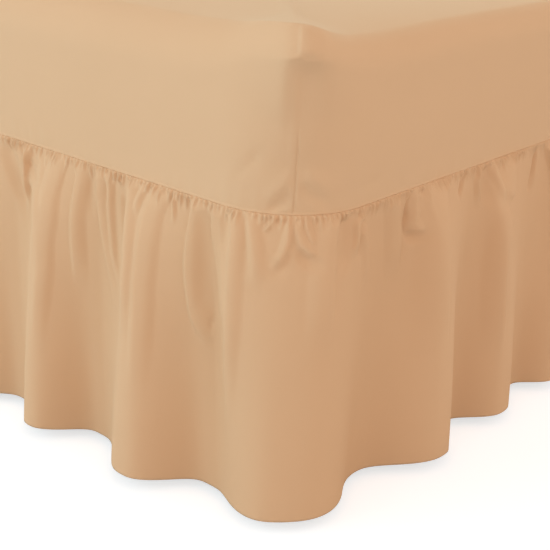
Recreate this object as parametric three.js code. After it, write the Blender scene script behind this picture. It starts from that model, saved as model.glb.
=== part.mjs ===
// A fitted valance sheet on a single mattress and its bed base.
// Millimetres, +Z up. The origin is on the floor under the middle of the bed.
// The long sides of the bed lie along Y, and its foot faces -Y.
//
// The sheet is a smooth panel over the top and walls of the mattress, with a gathered
// frill sewn along its lower edge. The frill is cut in four strips, and each strip
// goes round one corner. The mattress and the base are plain.
import * as THREE from "three";

// The bed, measured over the sheet's seam.
const BED_WIDTH = 900;
const BED_LENGTH = 1900;
const CORNER_RADIUS = 116;

// Heights above the floor.
const FOOT_HEIGHT = 30;
const BASE_TOP = 392;
const SEAM_HEIGHT = 410;
const EDGE_START = 584;
const EDGE_RADIUS = 40;

// Cloth and clearances.
const CLOTH = 2;
const PIECE_GAP = 0.3;
const MATTRESS_GAP = 2.5;
const BASE_INSET = 20;

// The frill: its cut depth, and how far it stands off the seam line at its head.
const FRILL_DROP = 398;
const HEAD_STAND = 1.5;
const FULLEST_FOLD = 66;
const HEAD_DRIFT_POWER = 1.5;
const EASE_STEPS = 4;

// The feet of the base.
const FOOT_RADIUS = 28;
const FOOT_INSET = 110;
const FOOT_SIDES = 20;

const CORNER_STEPS = 6;

// The outside of the panel from its lower edge to the flat of the crown.
// inset: how far it lies inside the seam line. height: above the floor.
const PANEL_WALL = [
  { inset: 0, height: SEAM_HEIGHT },
  { inset: -3, height: 470 },
  { inset: -3, height: 545 },
  { inset: 0, height: EDGE_START },
];
const PANEL_CROWN = [
  { inset: 130, height: 634 },
  { inset: 300, height: 638 },
];
const CROWN_TOP = 640;
const EDGE_STEPS = 4;

// The rounded lower edge of the mattress.
const MATTRESS_FOOT = [
  { inset: 34, height: BASE_TOP + PIECE_GAP },
  { inset: 16, height: 396 },
  { inset: 7, height: 408 },
];

// How the folds open from the seam to the hem.
// down: share of the drop. open: share of each fold's full depth.
const FRILL_ROWS = [
  { down: 0, open: 0 },
  { down: 0.06, open: 0.18 },
  { down: 0.16, open: 0.42 },
  { down: 0.36, open: 0.68 },
  { down: 0.68, open: 0.87 },
  { down: 1, open: 1 },
];

// The folds round the foot's right corner, as places along the seam from the middle
// of that corner. from, to: the crest. out: how far it stands out at the hem.
// dipFrom, dipTo: the hollow after it. dip: how far out that hollow lies.
// drift: how far to the side the head of the fold lies.
const CORNER_FOLDS = [
  { from: -562, to: -544, out: 60, dipFrom: -478, dipTo: -462, dip: 15, drift: -20 },
  { from: -395, to: -386, out: 66, dipFrom: -318, dipTo: -296, dip: 4, drift: -14 },
  { from: -207, to: -194, out: 62, dipFrom: -116, dipTo: -92, dip: -8, drift: -22 },
  { from: -12, to: 24, out: 43, dipFrom: 140, dipTo: 150, dip: -8, drift: 0 },
  { from: 262, to: 274, out: 60, dipFrom: 350, dipTo: 364, dip: 4, drift: -8 },
  { from: 438, to: 450, out: 56, dipFrom: 538, dipTo: 546, dip: 15, drift: -30 },
  { from: 598, to: 612, out: 60, dipFrom: 676, dipTo: 692, dip: 3, drift: 10 },
];

// The folds round the rest of the bed are alike, and vary between these sizes.
const OTHER_FOLDS = 23;
const OTHER_OUT = { least: 46, most: 64 };
const OTHER_DIP = { least: -8, most: 12 };
const OTHER_CREST = { least: 10, most: 40 };
const OTHER_HOLLOW = { least: 12, most: 30 };
const OTHER_SWAY = 18;
const OTHER_DRIFT = 28;
const SPREAD_SEED = 11;

// The strips, and the count of folds in each.
const STRIPS = [
  { name: "frill_foot_right", folds: CORNER_FOLDS.length },
  { name: "frill_head_right", folds: 8 },
  { name: "frill_head_left", folds: 7 },
  { name: "frill_foot_left", folds: 8 },
];

const CORNER_ARC = (CORNER_RADIUS * Math.PI) / 2;
const LONG_SIDE = BED_LENGTH - 2 * CORNER_RADIUS;
const SHORT_SIDE = BED_WIDTH - 2 * CORNER_RADIUS;
const PERIMETER = 4 * CORNER_ARC + 2 * (LONG_SIDE + SHORT_SIDE);

const SHEET_CLOTH = new THREE.MeshStandardMaterial({ color: 0xd9b187, roughness: 0.85 });
const TICKING = new THREE.MeshStandardMaterial({ color: 0xe9e4da, roughness: 0.9 });
const BASE_CLOTH = new THREE.MeshStandardMaterial({ color: 0xd8d2c6, roughness: 0.9 });
const FOOT_PLASTIC = new THREE.MeshStandardMaterial({ color: 0x2b2b2b, roughness: 0.5 });

// Returns a function that gives evenly spread values from 0 to 1, the same each run.
function makeSpread(seed) {
  let state = seed;
  return () => {
    state = (state * 16807) % 2147483647;
    return state / 2147483647;
  };
}

function between(range, share) {
  return range.least + (range.most - range.least) * share;
}

// A closed body from rows of points: each row goes once round or along the piece.
// A wall of quads joins each row to the next, and looped rows also join end to start.
function addWall(triangles, lower, upper, looped) {
  const count = lower.length;
  const spans = looped ? count : count - 1;
  for (let i = 0; i < spans; i++) {
    const next = (i + 1) % count;
    triangles.push(lower[i], lower[next], upper[next]);
    triangles.push(lower[i], upper[next], upper[i]);
  }
}

function meshOf(name, points, triangles, material) {
  const geometry = new THREE.BufferGeometry();
  geometry.setAttribute("position", new THREE.Float32BufferAttribute(points, 3));
  geometry.setIndex(triangles);
  geometry.computeVertexNormals();
  const mesh = new THREE.Mesh(geometry, material);
  mesh.name = name;
  return mesh;
}

// One turn round the bed at a given inset from the seam line, anticlockwise from above.
function ringPoints(inset, height) {
  const radius = Math.max(CORNER_RADIUS - inset, CORNER_RADIUS / 6);
  const reachX = BED_WIDTH / 2 - inset - radius;
  const reachY = BED_LENGTH / 2 - inset - radius;
  const points = [];
  for (let corner = 0; corner < 4; corner++) {
    const centreX = corner < 2 ? reachX : -reachX;
    const centreY = corner === 0 || corner === 3 ? -reachY : reachY;
    for (let step = 0; step <= CORNER_STEPS; step++) {
      const turn = ((corner - 1 + step / CORNER_STEPS) * Math.PI) / 2;
      points.push([
        centreX + radius * Math.cos(turn),
        centreY + radius * Math.sin(turn),
        height,
      ]);
    }
  }
  return points;
}

// The panel's outside, with the rounded edge worked out between wall and crown.
function panelProfile() {
  const edge = [];
  for (let step = 1; step <= EDGE_STEPS; step++) {
    const turn = (step / EDGE_STEPS) * (Math.PI / 2);
    edge.push({
      inset: EDGE_RADIUS * (1 - Math.cos(turn)),
      height: EDGE_START + EDGE_RADIUS * Math.sin(turn),
    });
  }
  return [...PANEL_WALL, ...edge, ...PANEL_CROWN];
}

// A profile moved square to itself, towards the inside of the bed.
function insideOf(profile, distance) {
  return profile.map((row, i) => {
    const before = profile[Math.max(i - 1, 0)];
    const after = profile[Math.min(i + 1, profile.length - 1)];
    const run = after.inset - before.inset;
    const rise = after.height - before.height;
    const size = Math.hypot(run, rise);
    return {
      inset: row.inset + (distance * rise) / size,
      height: row.height - (distance * run) / size,
    };
  });
}

// Adds a stack of rings and a middle point that closes its top.
function addDome(points, profile, topHeight) {
  const rings = profile.map((row) =>
    ringPoints(row.inset, row.height).map((point) => {
      points.push(...point);
      return points.length / 3 - 1;
    }),
  );
  points.push(0, 0, topHeight);
  return { rings, top: points.length / 3 - 1 };
}

function domeTriangles(dome) {
  const triangles = [];
  for (let i = 1; i < dome.rings.length; i++) {
    addWall(triangles, dome.rings[i - 1], dome.rings[i], true);
  }
  const last = dome.rings[dome.rings.length - 1];
  last.forEach((index, i) => {
    triangles.push(index, last[(i + 1) % last.length], dome.top);
  });
  return triangles;
}

function turnedOver(triangles) {
  const turned = [];
  for (let i = 0; i < triangles.length; i += 3) {
    turned.push(triangles[i], triangles[i + 2], triangles[i + 1]);
  }
  return turned;
}

// The smooth top and walls of the sheet: a tray of cloth, open below.
function makePanel() {
  const outside = panelProfile();
  const inside = insideOf(outside, CLOTH);
  inside[0].height = SEAM_HEIGHT;
  const points = [];
  const outer = addDome(points, outside, CROWN_TOP);
  const inner = addDome(points, inside, CROWN_TOP - CLOTH);
  const triangles = [...domeTriangles(outer), ...turnedOver(domeTriangles(inner))];
  addWall(triangles, inner.rings[0], outer.rings[0], true);
  return meshOf("sheet_panel", points, triangles, SHEET_CLOTH);
}

function makeMattress() {
  const drop = CLOTH + MATTRESS_GAP;
  const covered = insideOf(panelProfile(), drop).slice(1);
  const points = [];
  const dome = addDome(points, [...MATTRESS_FOOT, ...covered], CROWN_TOP - drop);
  points.push(0, 0, MATTRESS_FOOT[0].height);
  const under = points.length / 3 - 1;
  const triangles = domeTriangles(dome);
  const first = dome.rings[0];
  first.forEach((index, i) => {
    triangles.push(first[(i + 1) % first.length], index, under);
  });
  return meshOf("mattress", points, triangles, TICKING);
}

function roundedPlan(inset) {
  const shape = new THREE.Shape();
  const radius = CORNER_RADIUS - inset;
  const reachX = BED_WIDTH / 2 - inset - radius;
  const reachY = BED_LENGTH / 2 - inset - radius;
  const quarter = Math.PI / 2;
  shape.absarc(reachX, -reachY, radius, -quarter, 0);
  shape.absarc(reachX, reachY, radius, 0, quarter);
  shape.absarc(-reachX, reachY, radius, quarter, 2 * quarter);
  shape.absarc(-reachX, -reachY, radius, 2 * quarter, 3 * quarter);
  shape.closePath();
  return shape;
}

function makeBase() {
  const geometry = new THREE.ExtrudeGeometry(roundedPlan(BASE_INSET), {
    depth: BASE_TOP - FOOT_HEIGHT,
    bevelEnabled: false,
    curveSegments: CORNER_STEPS,
  });
  const mesh = new THREE.Mesh(geometry, BASE_CLOTH);
  mesh.name = "bed_base";
  mesh.position.z = FOOT_HEIGHT;
  return mesh;
}

// Six round feet in two rows along the bed.
function makeFeet() {
  const height = FOOT_HEIGHT - PIECE_GAP;
  const feet = [];
  for (const side of [-1, 1]) {
    for (const row of [-1, 0, 1]) {
      const geometry = new THREE.CylinderGeometry(FOOT_RADIUS, FOOT_RADIUS, height, FOOT_SIDES);
      const foot = new THREE.Mesh(geometry, FOOT_PLASTIC);
      foot.name = `foot_${feet.length + 1}`;
      foot.rotation.x = Math.PI / 2;
      foot.position.set(
        side * (BED_WIDTH / 2 - FOOT_INSET),
        row * (BED_LENGTH / 2 - FOOT_INSET),
        height / 2,
      );
      feet.push(foot);
    }
  }
  return feet;
}

// The point at a place along the seam, moved out from it by some distance.
function seamPoint(place, out) {
  let rest = (place + CORNER_ARC / 2 + PERIMETER) % PERIMETER;
  for (let corner = 0; corner < 4; corner++) {
    const side = corner % 2 === 0 ? LONG_SIDE : SHORT_SIDE;
    const centreX = (corner < 2 ? 1 : -1) * (BED_WIDTH / 2 - CORNER_RADIUS);
    const centreY = (corner === 0 || corner === 3 ? -1 : 1) * (BED_LENGTH / 2 - CORNER_RADIUS);
    const onArc = Math.min(rest / CORNER_ARC, 1);
    const turn = ((corner - 1 + onArc) * Math.PI) / 2;
    const straight = Math.max(rest - CORNER_ARC, 0);
    if (straight <= side) {
      const reach = CORNER_RADIUS + out;
      return [
        centreX + reach * Math.cos(turn) - straight * Math.sin(turn),
        centreY + reach * Math.sin(turn) + straight * Math.cos(turn),
      ];
    }
    rest -= CORNER_ARC + side;
  }
  throw new Error("the seam has no such place");
}

// Which side of the bed a place along the seam is nearest to.
function sideOf(place) {
  const [x, y] = seamPoint(place, 0);
  if (Math.abs(x) / BED_WIDTH > Math.abs(y) / BED_LENGTH) return x > 0 ? "right" : "left";
  return y > 0 ? "head" : "foot";
}

// The folds of the strips that are away from the foot's right corner.
function otherFolds() {
  const spread = makeSpread(SPREAD_SEED);
  const start = CORNER_FOLDS[CORNER_FOLDS.length - 1].dipTo;
  const firstCrest = CORNER_FOLDS[0].from + PERIMETER;
  const pitch = (firstCrest - start) / (OTHER_FOLDS + 0.5);
  const folds = [];
  for (let i = 0; i < OTHER_FOLDS; i++) {
    const sway = OTHER_SWAY * (2 * spread() - 1);
    const crest = start + pitch * (i + 0.5) + sway;
    const hollow = start + pitch * (i + 1) + sway / 2;
    const crestWidth = between(OTHER_CREST, spread());
    const hollowWidth = between(OTHER_HOLLOW, spread());
    folds.push({
      from: crest - crestWidth / 2,
      to: crest + crestWidth / 2,
      out: between(OTHER_OUT, spread()),
      dipFrom: hollow - hollowWidth / 2,
      dipTo: hollow + hollowWidth / 2,
      dip: between(OTHER_DIP, spread()),
      drift: OTHER_DRIFT * (2 * spread() - 1),
    });
  }
  return folds;
}

// The fullest fold of each side stands out equally, so that the bed stays in the middle.
// The folds round the foot's right corner keep their own sizes.
function levelSides(folds) {
  for (const side of ["right", "head", "left", "foot"]) {
    const onSide = folds.filter((fold) => sideOf(fold.from) === side);
    if (onSide.some((fold) => fold.out >= FULLEST_FOLD)) continue;
    const free = onSide.filter((fold) => folds.indexOf(fold) >= CORNER_FOLDS.length);
    const fullest = free.reduce((most, fold) => (fold.out > most.out ? fold : most));
    fullest.out = FULLEST_FOLD;
  }
}

function ease(share) {
  return (1 - Math.cos(Math.PI * share)) / 2;
}

// Stations along the hem between two places, both ends included.
function easedStations(start, end) {
  const stations = [];
  for (let step = 0; step <= EASE_STEPS; step++) {
    const share = step / EASE_STEPS;
    stations.push({
      place: start.place + (end.place - start.place) * share,
      out: start.out + (end.out - start.out) * ease(share),
      drift: start.drift + (end.drift - start.drift) * share,
    });
  }
  return stations;
}

// A strip's stations run from the middle of one hollow to the middle of another.
function stripStations(folds, before) {
  const beforeMiddle = (before.dipFrom + before.dipTo) / 2;
  const stations = [{ place: beforeMiddle, out: before.dip, drift: before.drift }];
  let hollow = { place: before.dipTo, out: before.dip, drift: before.drift };
  for (const fold of folds) {
    const { out, dip, drift } = fold;
    stations.push(...easedStations(hollow, { place: fold.from, out, drift }));
    stations.push(
      ...easedStations({ place: fold.to, out, drift }, { place: fold.dipFrom, out: dip, drift }),
    );
    hollow = { place: fold.dipTo, out: dip, drift };
  }
  const last = folds[folds.length - 1];
  const lastMiddle = (last.dipFrom + last.dipTo) / 2;
  stations.push({ place: lastMiddle, out: last.dip, drift: last.drift });
  stations[0].place += PIECE_GAP / 2;
  stations[stations.length - 1].place -= PIECE_GAP / 2;
  return stations;
}

// One row of a strip: the cloth's outside and inside at one share of the drop.
function frillRow(stations, row) {
  const outside = stations.map((station) => {
    const out = HEAD_STAND + (station.out - HEAD_STAND) * row.open;
    const shift = station.drift * Math.pow(1 - row.down, HEAD_DRIFT_POWER);
    const hang = Math.sqrt(FRILL_DROP ** 2 - station.out ** 2);
    const height = SEAM_HEIGHT - PIECE_GAP - hang * row.down;
    return [...seamPoint(station.place + shift, out), height];
  });
  const inside = outside.map(([x, y, z], i) => {
    const before = outside[Math.max(i - 1, 0)];
    const after = outside[Math.min(i + 1, outside.length - 1)];
    const alongX = after[0] - before[0];
    const alongY = after[1] - before[1];
    const size = Math.hypot(alongX, alongY);
    return [x - (CLOTH * alongY) / size, y + (CLOTH * alongX) / size, z];
  });
  return { outside, inside };
}

function makeStrip(name, folds, before) {
  const stations = stripStations(folds, before);
  const rows = FRILL_ROWS.map((row) => frillRow(stations, row));
  const points = [];
  const keep = (row) =>
    row.map((point) => {
      points.push(...point);
      return points.length / 3 - 1;
    });
  const outer = rows.map((row) => keep(row.outside));
  const inner = rows.map((row) => keep(row.inside));
  const triangles = [];
  for (let i = 1; i < rows.length; i++) {
    addWall(triangles, outer[i], outer[i - 1], false);
    addWall(triangles, inner[i - 1], inner[i], false);
  }
  const end = stations.length - 1;
  addWall(triangles, outer[0], inner[0], false);
  addWall(triangles, inner[rows.length - 1], outer[rows.length - 1], false);
  const edgeOf = (layer, column) => layer.map((row) => row[column]);
  addWall(triangles, edgeOf(inner, 0), edgeOf(outer, 0), false);
  addWall(triangles, edgeOf(outer, end), edgeOf(inner, end), false);
  return meshOf(name, points, triangles, SHEET_CLOTH);
}

function makeFrill() {
  const folds = [...CORNER_FOLDS.map((fold) => ({ ...fold })), ...otherFolds()];
  levelSides(folds);
  const last = folds[folds.length - 1];
  let before = { ...last, dipFrom: last.dipFrom - PERIMETER, dipTo: last.dipTo - PERIMETER };
  let first = 0;
  return STRIPS.map((strip) => {
    const own = folds.slice(first, first + strip.folds);
    const mesh = makeStrip(strip.name, own, before);
    first += strip.folds;
    before = own[own.length - 1];
    return mesh;
  });
}

const bed = new THREE.Group();
bed.add(makeBase(), ...makeFeet(), makeMattress());

const sheet = new THREE.Group();
sheet.add(makePanel(), ...makeFrill());

const object = new THREE.Group();
object.add(bed, sheet);

export default object;
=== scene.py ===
"""Looks and light for a fitted valance sheet on a single mattress and its bed base.

The sheet is a smooth panel over the mattress with a gathered frill sewn along its lower
edge. Tables are in millimetres. A place along the seam is counted from the middle of the
foot's right corner, growing towards the head along the right side of the bed.
"""

import logging
import math
from dataclasses import dataclass, field, replace
from enum import Enum

import bpy
import numpy as np
from mathutils import Matrix, Vector


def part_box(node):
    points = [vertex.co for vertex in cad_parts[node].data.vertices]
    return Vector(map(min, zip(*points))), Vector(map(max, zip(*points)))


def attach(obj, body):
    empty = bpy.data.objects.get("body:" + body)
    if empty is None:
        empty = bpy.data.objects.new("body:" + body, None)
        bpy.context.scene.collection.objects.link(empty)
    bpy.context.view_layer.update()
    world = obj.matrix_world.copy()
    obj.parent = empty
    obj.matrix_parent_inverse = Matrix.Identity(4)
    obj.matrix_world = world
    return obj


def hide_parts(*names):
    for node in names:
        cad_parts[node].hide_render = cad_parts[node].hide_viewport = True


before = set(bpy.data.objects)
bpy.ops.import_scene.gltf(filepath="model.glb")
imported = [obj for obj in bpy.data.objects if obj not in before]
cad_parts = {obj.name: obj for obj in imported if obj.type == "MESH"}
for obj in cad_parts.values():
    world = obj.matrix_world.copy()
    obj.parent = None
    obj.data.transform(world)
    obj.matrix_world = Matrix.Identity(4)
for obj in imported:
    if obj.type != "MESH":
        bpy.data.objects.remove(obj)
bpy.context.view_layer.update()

MM = 0.001
CORNER_RADIUS = 116.0
# The point attribute that carries painted shade for the frill's hollows and hem.
PAINTED_SHADE = "PaintedShade"
BODY = "root"
LOG = logging.getLogger("valance_sheet")


# ---------------------------------------------------------------------------
# Small helpers for numbers, meshes and nodes
# ---------------------------------------------------------------------------


def smooth(share: np.ndarray) -> np.ndarray:
    """Eased share: 0 below 0, 1 above 1, and a soft step between."""
    held = np.clip(share, 0.0, 1.0)
    return held * held * (3.0 - 2.0 * held)


def mixed(low: float, high: float, share: float) -> float:
    """The value at a share of the way from low to high."""
    return low + (high - low) * share


class Spread:
    """A plain generator of evenly spread values, the same each run."""

    FACTOR = 16807
    LIMIT = 2147483647

    def __init__(self, seed: int) -> None:
        """Start from a seed.

        Args:
            seed: any whole number over zero.
        """
        self.state = seed

    def share(self) -> float:
        """The next value from 0 to 1."""
        self.state = (self.state * self.FACTOR) % self.LIMIT
        return self.state / self.LIMIT

    def between(self, low: float, high: float) -> float:
        """The next value from low to high."""
        return mixed(low, high, self.share())

    def either_way(self, most: float) -> float:
        """The next value from -most to most."""
        return most * (2.0 * self.share() - 1.0)


def grid_faces(rows: int, columns: int, looped: bool) -> np.ndarray:
    """Quads of a grid whose points run along each row.

    Args:
        rows: how many rows of points.
        columns: how many points in a row.
        looped: whether the last column joins the first.

    Returns:
        An array of four point numbers for each quad.
    """
    spans = columns if looped else columns - 1
    row, column = np.meshgrid(np.arange(rows - 1), np.arange(spans), indexing="ij")
    after = (column + 1) % columns
    corners = [
        row * columns + column,
        (row + 1) * columns + column,
        (row + 1) * columns + after,
        row * columns + after,
    ]
    return np.stack(corners, axis=-1).reshape(-1, 4)


def mesh_object(
    name: str, points: np.ndarray, faces: list, uv: np.ndarray | None, hollow: np.ndarray | None = None
) -> bpy.types.Object:
    """A smooth-shaded object from points in metres.

    Args:
        name: the piece's name.
        points: one row for each point.
        faces: point numbers of each face.
        uv: one pair for each point, or None.
        hollow: each point's share of painted shade, most in the hollows and near the hem, or None.

    Returns:
        The object, linked to the scene.
    """
    mesh = bpy.data.meshes.new(name)
    mesh.from_pydata(points.tolist(), [], faces)
    mesh.update()
    if uv is not None:
        layer = mesh.uv_layers.new(name="cloth")
        corners = np.zeros(len(mesh.loops), dtype=np.int32)
        mesh.loops.foreach_get("vertex_index", corners)
        layer.data.foreach_set("uv", uv[corners].astype(np.float32).ravel())
    if hollow is not None:
        # Painted shade, stored on the points for the cloth's material to darken its colour with.
        mesh.attributes.new(PAINTED_SHADE, "FLOAT", "POINT").data.foreach_set("value", hollow.astype(np.float32))
    mesh.shade_smooth()
    piece = bpy.data.objects.new(name, mesh)
    bpy.context.collection.objects.link(piece)
    return piece


def apply_modifier(piece: bpy.types.Object, kind: str, **settings: object) -> None:
    """Add a modifier with its settings and apply it at once.

    Args:
        piece: the piece.
        kind: the modifier's type.
        settings: values for the modifier.
    """
    bpy.ops.object.select_all(action="DESELECT")
    piece.select_set(True)
    bpy.context.view_layer.objects.active = piece
    modifier = piece.modifiers.new(kind.title(), kind)
    for key, value in settings.items():
        setattr(modifier, key, value)
    bpy.ops.object.modifier_apply(modifier=modifier.name)


def surface_area(piece: bpy.types.Object) -> float:
    """The area of all the faces of a piece, in square metres."""
    return float(sum(face.area for face in piece.data.polygons))


# ---------------------------------------------------------------------------
# The seam line, and creases in the cloth
# ---------------------------------------------------------------------------


@dataclass(frozen=True)
class SeamLine:
    """The line round the bed on which the frill is sewn, in millimetres."""

    half_width: float
    half_length: float
    radius: float
    height: float

    @property
    def arc(self) -> float:
        """The length of the line round one corner."""
        return self.radius * math.pi / 2

    @property
    def sides(self) -> tuple[float, float]:
        """The straight length of a long side and of a short one."""
        return 2 * (self.half_length - self.radius), 2 * (self.half_width - self.radius)

    @property
    def length(self) -> float:
        """The length of the whole line."""
        return 4 * self.arc + 2 * sum(self.sides)

    def corners(self) -> list[float]:
        """The places of the four corners' middles."""
        long_side, short_side = self.sides
        second = self.arc + long_side
        third = second + self.arc + short_side
        return [0.0, second, third, third + second]

    def centres(self) -> list[float]:
        """The corners' middles, each by the shorter way round from the first."""
        return [at if at < self.length / 2 else at - self.length for at in self.corners()]

    def away(self, along: np.ndarray, corner: float) -> np.ndarray:
        """How far each place lies from a corner, by the shorter way round."""
        half = self.length / 2
        return np.mod(along - corner + half, self.length) - half

    def plan(self, along: np.ndarray, out: np.ndarray) -> tuple[np.ndarray, np.ndarray]:
        """Points beside the line, seen from above.

        Args:
            along: places along the line.
            out: how far each point lies outside the line.

        Returns:
            The points' x and y.
        """
        x = np.zeros(np.broadcast(along, out).shape)
        y = np.zeros(x.shape)
        rest = np.broadcast_to(np.mod(along + self.arc / 2, self.length), x.shape).copy()
        out = np.broadcast_to(out, x.shape)
        radius = np.minimum(self.radius, self.radius + out)
        found = np.zeros(x.shape, dtype=bool)
        for corner in range(4):
            side = self.sides[corner % 2]
            turn = ((corner - 1) + np.clip(rest / self.arc, 0, 1)) * math.pi / 2
            straight = np.maximum(rest - self.arc, 0)
            sign_x = 1 if corner < 2 else -1
            sign_y = -1 if corner in (0, 3) else 1
            # Well inside the line the corner tightens, so that its rings never cross.
            round_off = np.maximum(self.radius + out, self.radius / 6)
            pull = np.maximum(round_off - (self.radius + out), 0)
            centre_x = sign_x * (self.half_width - self.radius - pull)
            centre_y = sign_y * (self.half_length - self.radius - pull)
            share = np.where(straight > 0, straight / side, 0)
            run = share * (side - 2 * pull)
            here = ~found & (straight <= side)
            px = centre_x + round_off * np.cos(turn) - run * np.sin(turn)
            py = centre_y + round_off * np.sin(turn) + run * np.cos(turn)
            x = np.where(here, px, x)
            y = np.where(here, py, y)
            found |= here
            rest = np.where(found, rest, rest - self.arc - side)
        return x, y


class Section(Enum):
    """The shape of a crease, seen end on."""

    ROUND = "soft on both sides"
    PLEAT = "steep before its top and soft after it"
    TUCK = "soft before its top and steep after it"


@dataclass(frozen=True)
class Crease:
    """One ridge or trough, along a path of (place along the seam, height) pairs.

    Attributes:
        path: the points that the top of the crease follows, from its head down.
        rise: how far it stands out, or how deep it is when below zero.
        before: how wide it is on the side of the lower places.
        after: how wide it is on the side of the higher places.
        section: its shape, seen end on.
        fade_in: the share of its length over which it starts.
        fade_out: the share of its length over which it ends.
        taper: its width at the end of the path, as a share of the width at the head.
    """

    path: tuple[tuple[float, float], ...]
    rise: float
    before: float
    after: float
    section: Section = Section.ROUND
    fade_in: float = 0.08
    fade_out: float = 0.45
    taper: float = 1.0

    def route(self) -> np.ndarray:
        """The path as a smooth line through its points."""
        points = np.array(self.path, dtype=float)
        if len(points) == 2:
            return points
        padded = np.vstack([2 * points[0] - points[1], points, 2 * points[-1] - points[-2]])
        steps = np.linspace(0, 1, 6, endpoint=False)[:, None]
        pieces = []
        for i in range(1, len(padded) - 2):
            a, b, c, d = padded[i - 1 : i + 3]
            pieces.append(
                0.5 * (2 * b + (c - a) * steps + (2 * a - 5 * b + 4 * c - d) * steps**2
                       + (3 * b - a - 3 * c + d) * steps**3)
            )
        pieces.append(points[-1:])
        return np.vstack(pieces)

    def outline(self, share: np.ndarray, side_before: np.ndarray) -> np.ndarray:
        """The crease's height at a share of the way from its top to its toe.

        Args:
            share: 0 at the top and 1 at the toe.
            side_before: whether the point is on the side of the lower places.

        Returns:
            Shares of the rise.
        """
        held = np.clip(share, 0, 1)
        if self.section is Section.ROUND:
            return (1 - held**2) ** 2
        soft, steep = (1 - held**2) ** 1.5, (1 - held**4) ** 1.5
        return np.where(side_before == (self.section is Section.PLEAT), steep, soft)

    def height_at(self, along: np.ndarray, height: np.ndarray) -> np.ndarray:
        """How far the crease moves the cloth at each point.

        Args:
            along: places along the seam.
            height: heights, or distances up the panel.

        Returns:
            Moves out of the surface, with the crease's own sign.
        """
        moved = np.zeros(along.shape)
        route = self.route()
        reach = max(self.before, self.after)
        near = (
            (along > route[:, 0].min() - reach) & (along < route[:, 0].max() + reach)
            & (height > route[:, 1].min() - reach) & (height < route[:, 1].max() + reach)
        )
        if not near.any():
            return moved
        points = np.stack([along[near], height[near]], axis=-1)
        starts, steps = route[:-1], np.diff(route, axis=0)
        sizes = np.maximum(np.hypot(steps[:, 0], steps[:, 1]), 1e-6)
        offset = points[:, None, :] - starts[None, :, :]
        share = np.clip((offset * steps).sum(-1) / sizes**2, 0, 1)
        gap = offset - share[..., None] * steps
        distance = np.hypot(gap[..., 0], gap[..., 1])
        best = distance.argmin(axis=1)
        rows = np.arange(len(points))
        turned = steps[best, 0] * offset[rows, best, 1] - steps[best, 1] * offset[rows, best, 0]
        side_before = turned <= 0
        walked = np.concatenate([[0], np.cumsum(sizes)[:-1]])
        travelled = (walked[best] + share[rows, best] * sizes[best]) / sizes.sum()
        wide = np.where(side_before, self.before, self.after) * (1 - (1 - self.taper) * travelled)
        bump = self.outline(distance[rows, best] / wide, side_before)
        fade = smooth(travelled / max(self.fade_in, 1e-3)) * smooth(
            (1 - travelled) / max(self.fade_out, 1e-3)
        )
        moved[near] = self.rise * bump * fade
        return moved


def relief(creases: list[Crease], along: np.ndarray, height: np.ndarray) -> np.ndarray:
    """All the creases together, where ridges that meet flow into one another.

    Args:
        creases: ridges and troughs.
        along: places along the seam.
        height: heights, or distances up the panel.

    Returns:
        How far the cloth moves out of its plain shape.
    """
    power = 3.0
    ridges = np.zeros(along.shape)
    troughs = np.zeros(along.shape)
    for crease in creases:
        moved = crease.height_at(along, height)
        if crease.rise > 0:
            ridges += moved**power
        else:
            troughs += (-moved) ** power
    return ridges ** (1 / power) - troughs ** (1 / power)


# ---------------------------------------------------------------------------
# Finishes
# ---------------------------------------------------------------------------


@dataclass
class NodeSheet:
    """A node tree with short calls to fill it."""

    tree: bpy.types.NodeTree

    def add(self, kind: str, **settings: object) -> bpy.types.Node:
        """Add a node of a kind with its settings."""
        node = self.tree.nodes.new(kind)
        for key, value in settings.items():
            setattr(node, key, value)
        return node

    def link(self, start: bpy.types.NodeSocket, end: bpy.types.NodeSocket) -> None:
        """Join two sockets."""
        self.tree.links.new(start, end)

    def fill(self, slot: bpy.types.NodeSocket, value: object) -> None:
        """Give a socket a value, or join another socket to it."""
        if isinstance(value, bpy.types.NodeSocket):
            self.link(value, slot)
        else:
            slot.default_value = value

    def math(self, operation: str, first: object, second: object) -> bpy.types.NodeSocket:
        """A math node with two values or sockets.

        Args:
            operation: the node's operation.
            first: a number or a socket.
            second: a number or a socket.

        Returns:
            The result's socket.
        """
        node = self.add("ShaderNodeMath", operation=operation)
        for slot, value in zip(node.inputs, (first, second)):
            self.fill(slot, value)
        return node.outputs[0]

    def mix(self, share: object, first: object, second: object) -> bpy.types.NodeSocket:
        """A colour mix.

        Args:
            share: a number or a socket.
            first: a colour or a socket.
            second: a colour or a socket.

        Returns:
            The result's socket.
        """
        node = self.add("ShaderNodeMix", data_type="RGBA", blend_type="MIX")
        for slot, value in ((node.inputs[0], share), (node.inputs[6], first), (node.inputs[7], second)):
            self.fill(slot, value)
        return node.outputs[2]

    def bump(
        self, shader: bpy.types.Node, height: bpy.types.NodeSocket, strength: float, depth: float
    ) -> None:
        """Raise a shader's surface by a height.

        Args:
            shader: the shader.
            height: the height's socket.
            strength: the strength of the bump.
            depth: its depth in metres.
        """
        node = self.add("ShaderNodeBump")
        node.inputs["Strength"].default_value = strength
        node.inputs["Distance"].default_value = depth
        self.link(height, node.inputs["Height"])
        self.link(node.outputs["Normal"], shader.inputs["Normal"])


def new_group(
    name: str, inputs: dict[str, tuple], outputs: dict[str, str]
) -> tuple[NodeSheet, bpy.types.Node, bpy.types.Node]:
    """A shader node group with its sockets.

    Args:
        name: the group's name.
        inputs: for each socket its type and its value.
        outputs: for each socket its type.

    Returns:
        The group's sheet, its input node and its output node.
    """
    tree = bpy.data.node_groups.new(name, "ShaderNodeTree")
    for key, (kind, value) in inputs.items():
        socket = tree.interface.new_socket(key, in_out="INPUT", socket_type=kind)
        if value is not None:
            socket.default_value = value
    for key, kind in outputs.items():
        tree.interface.new_socket(key, in_out="OUTPUT", socket_type=kind)
    sheet = NodeSheet(tree)
    return sheet, sheet.add("NodeGroupInput"), sheet.add("NodeGroupOutput")


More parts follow.
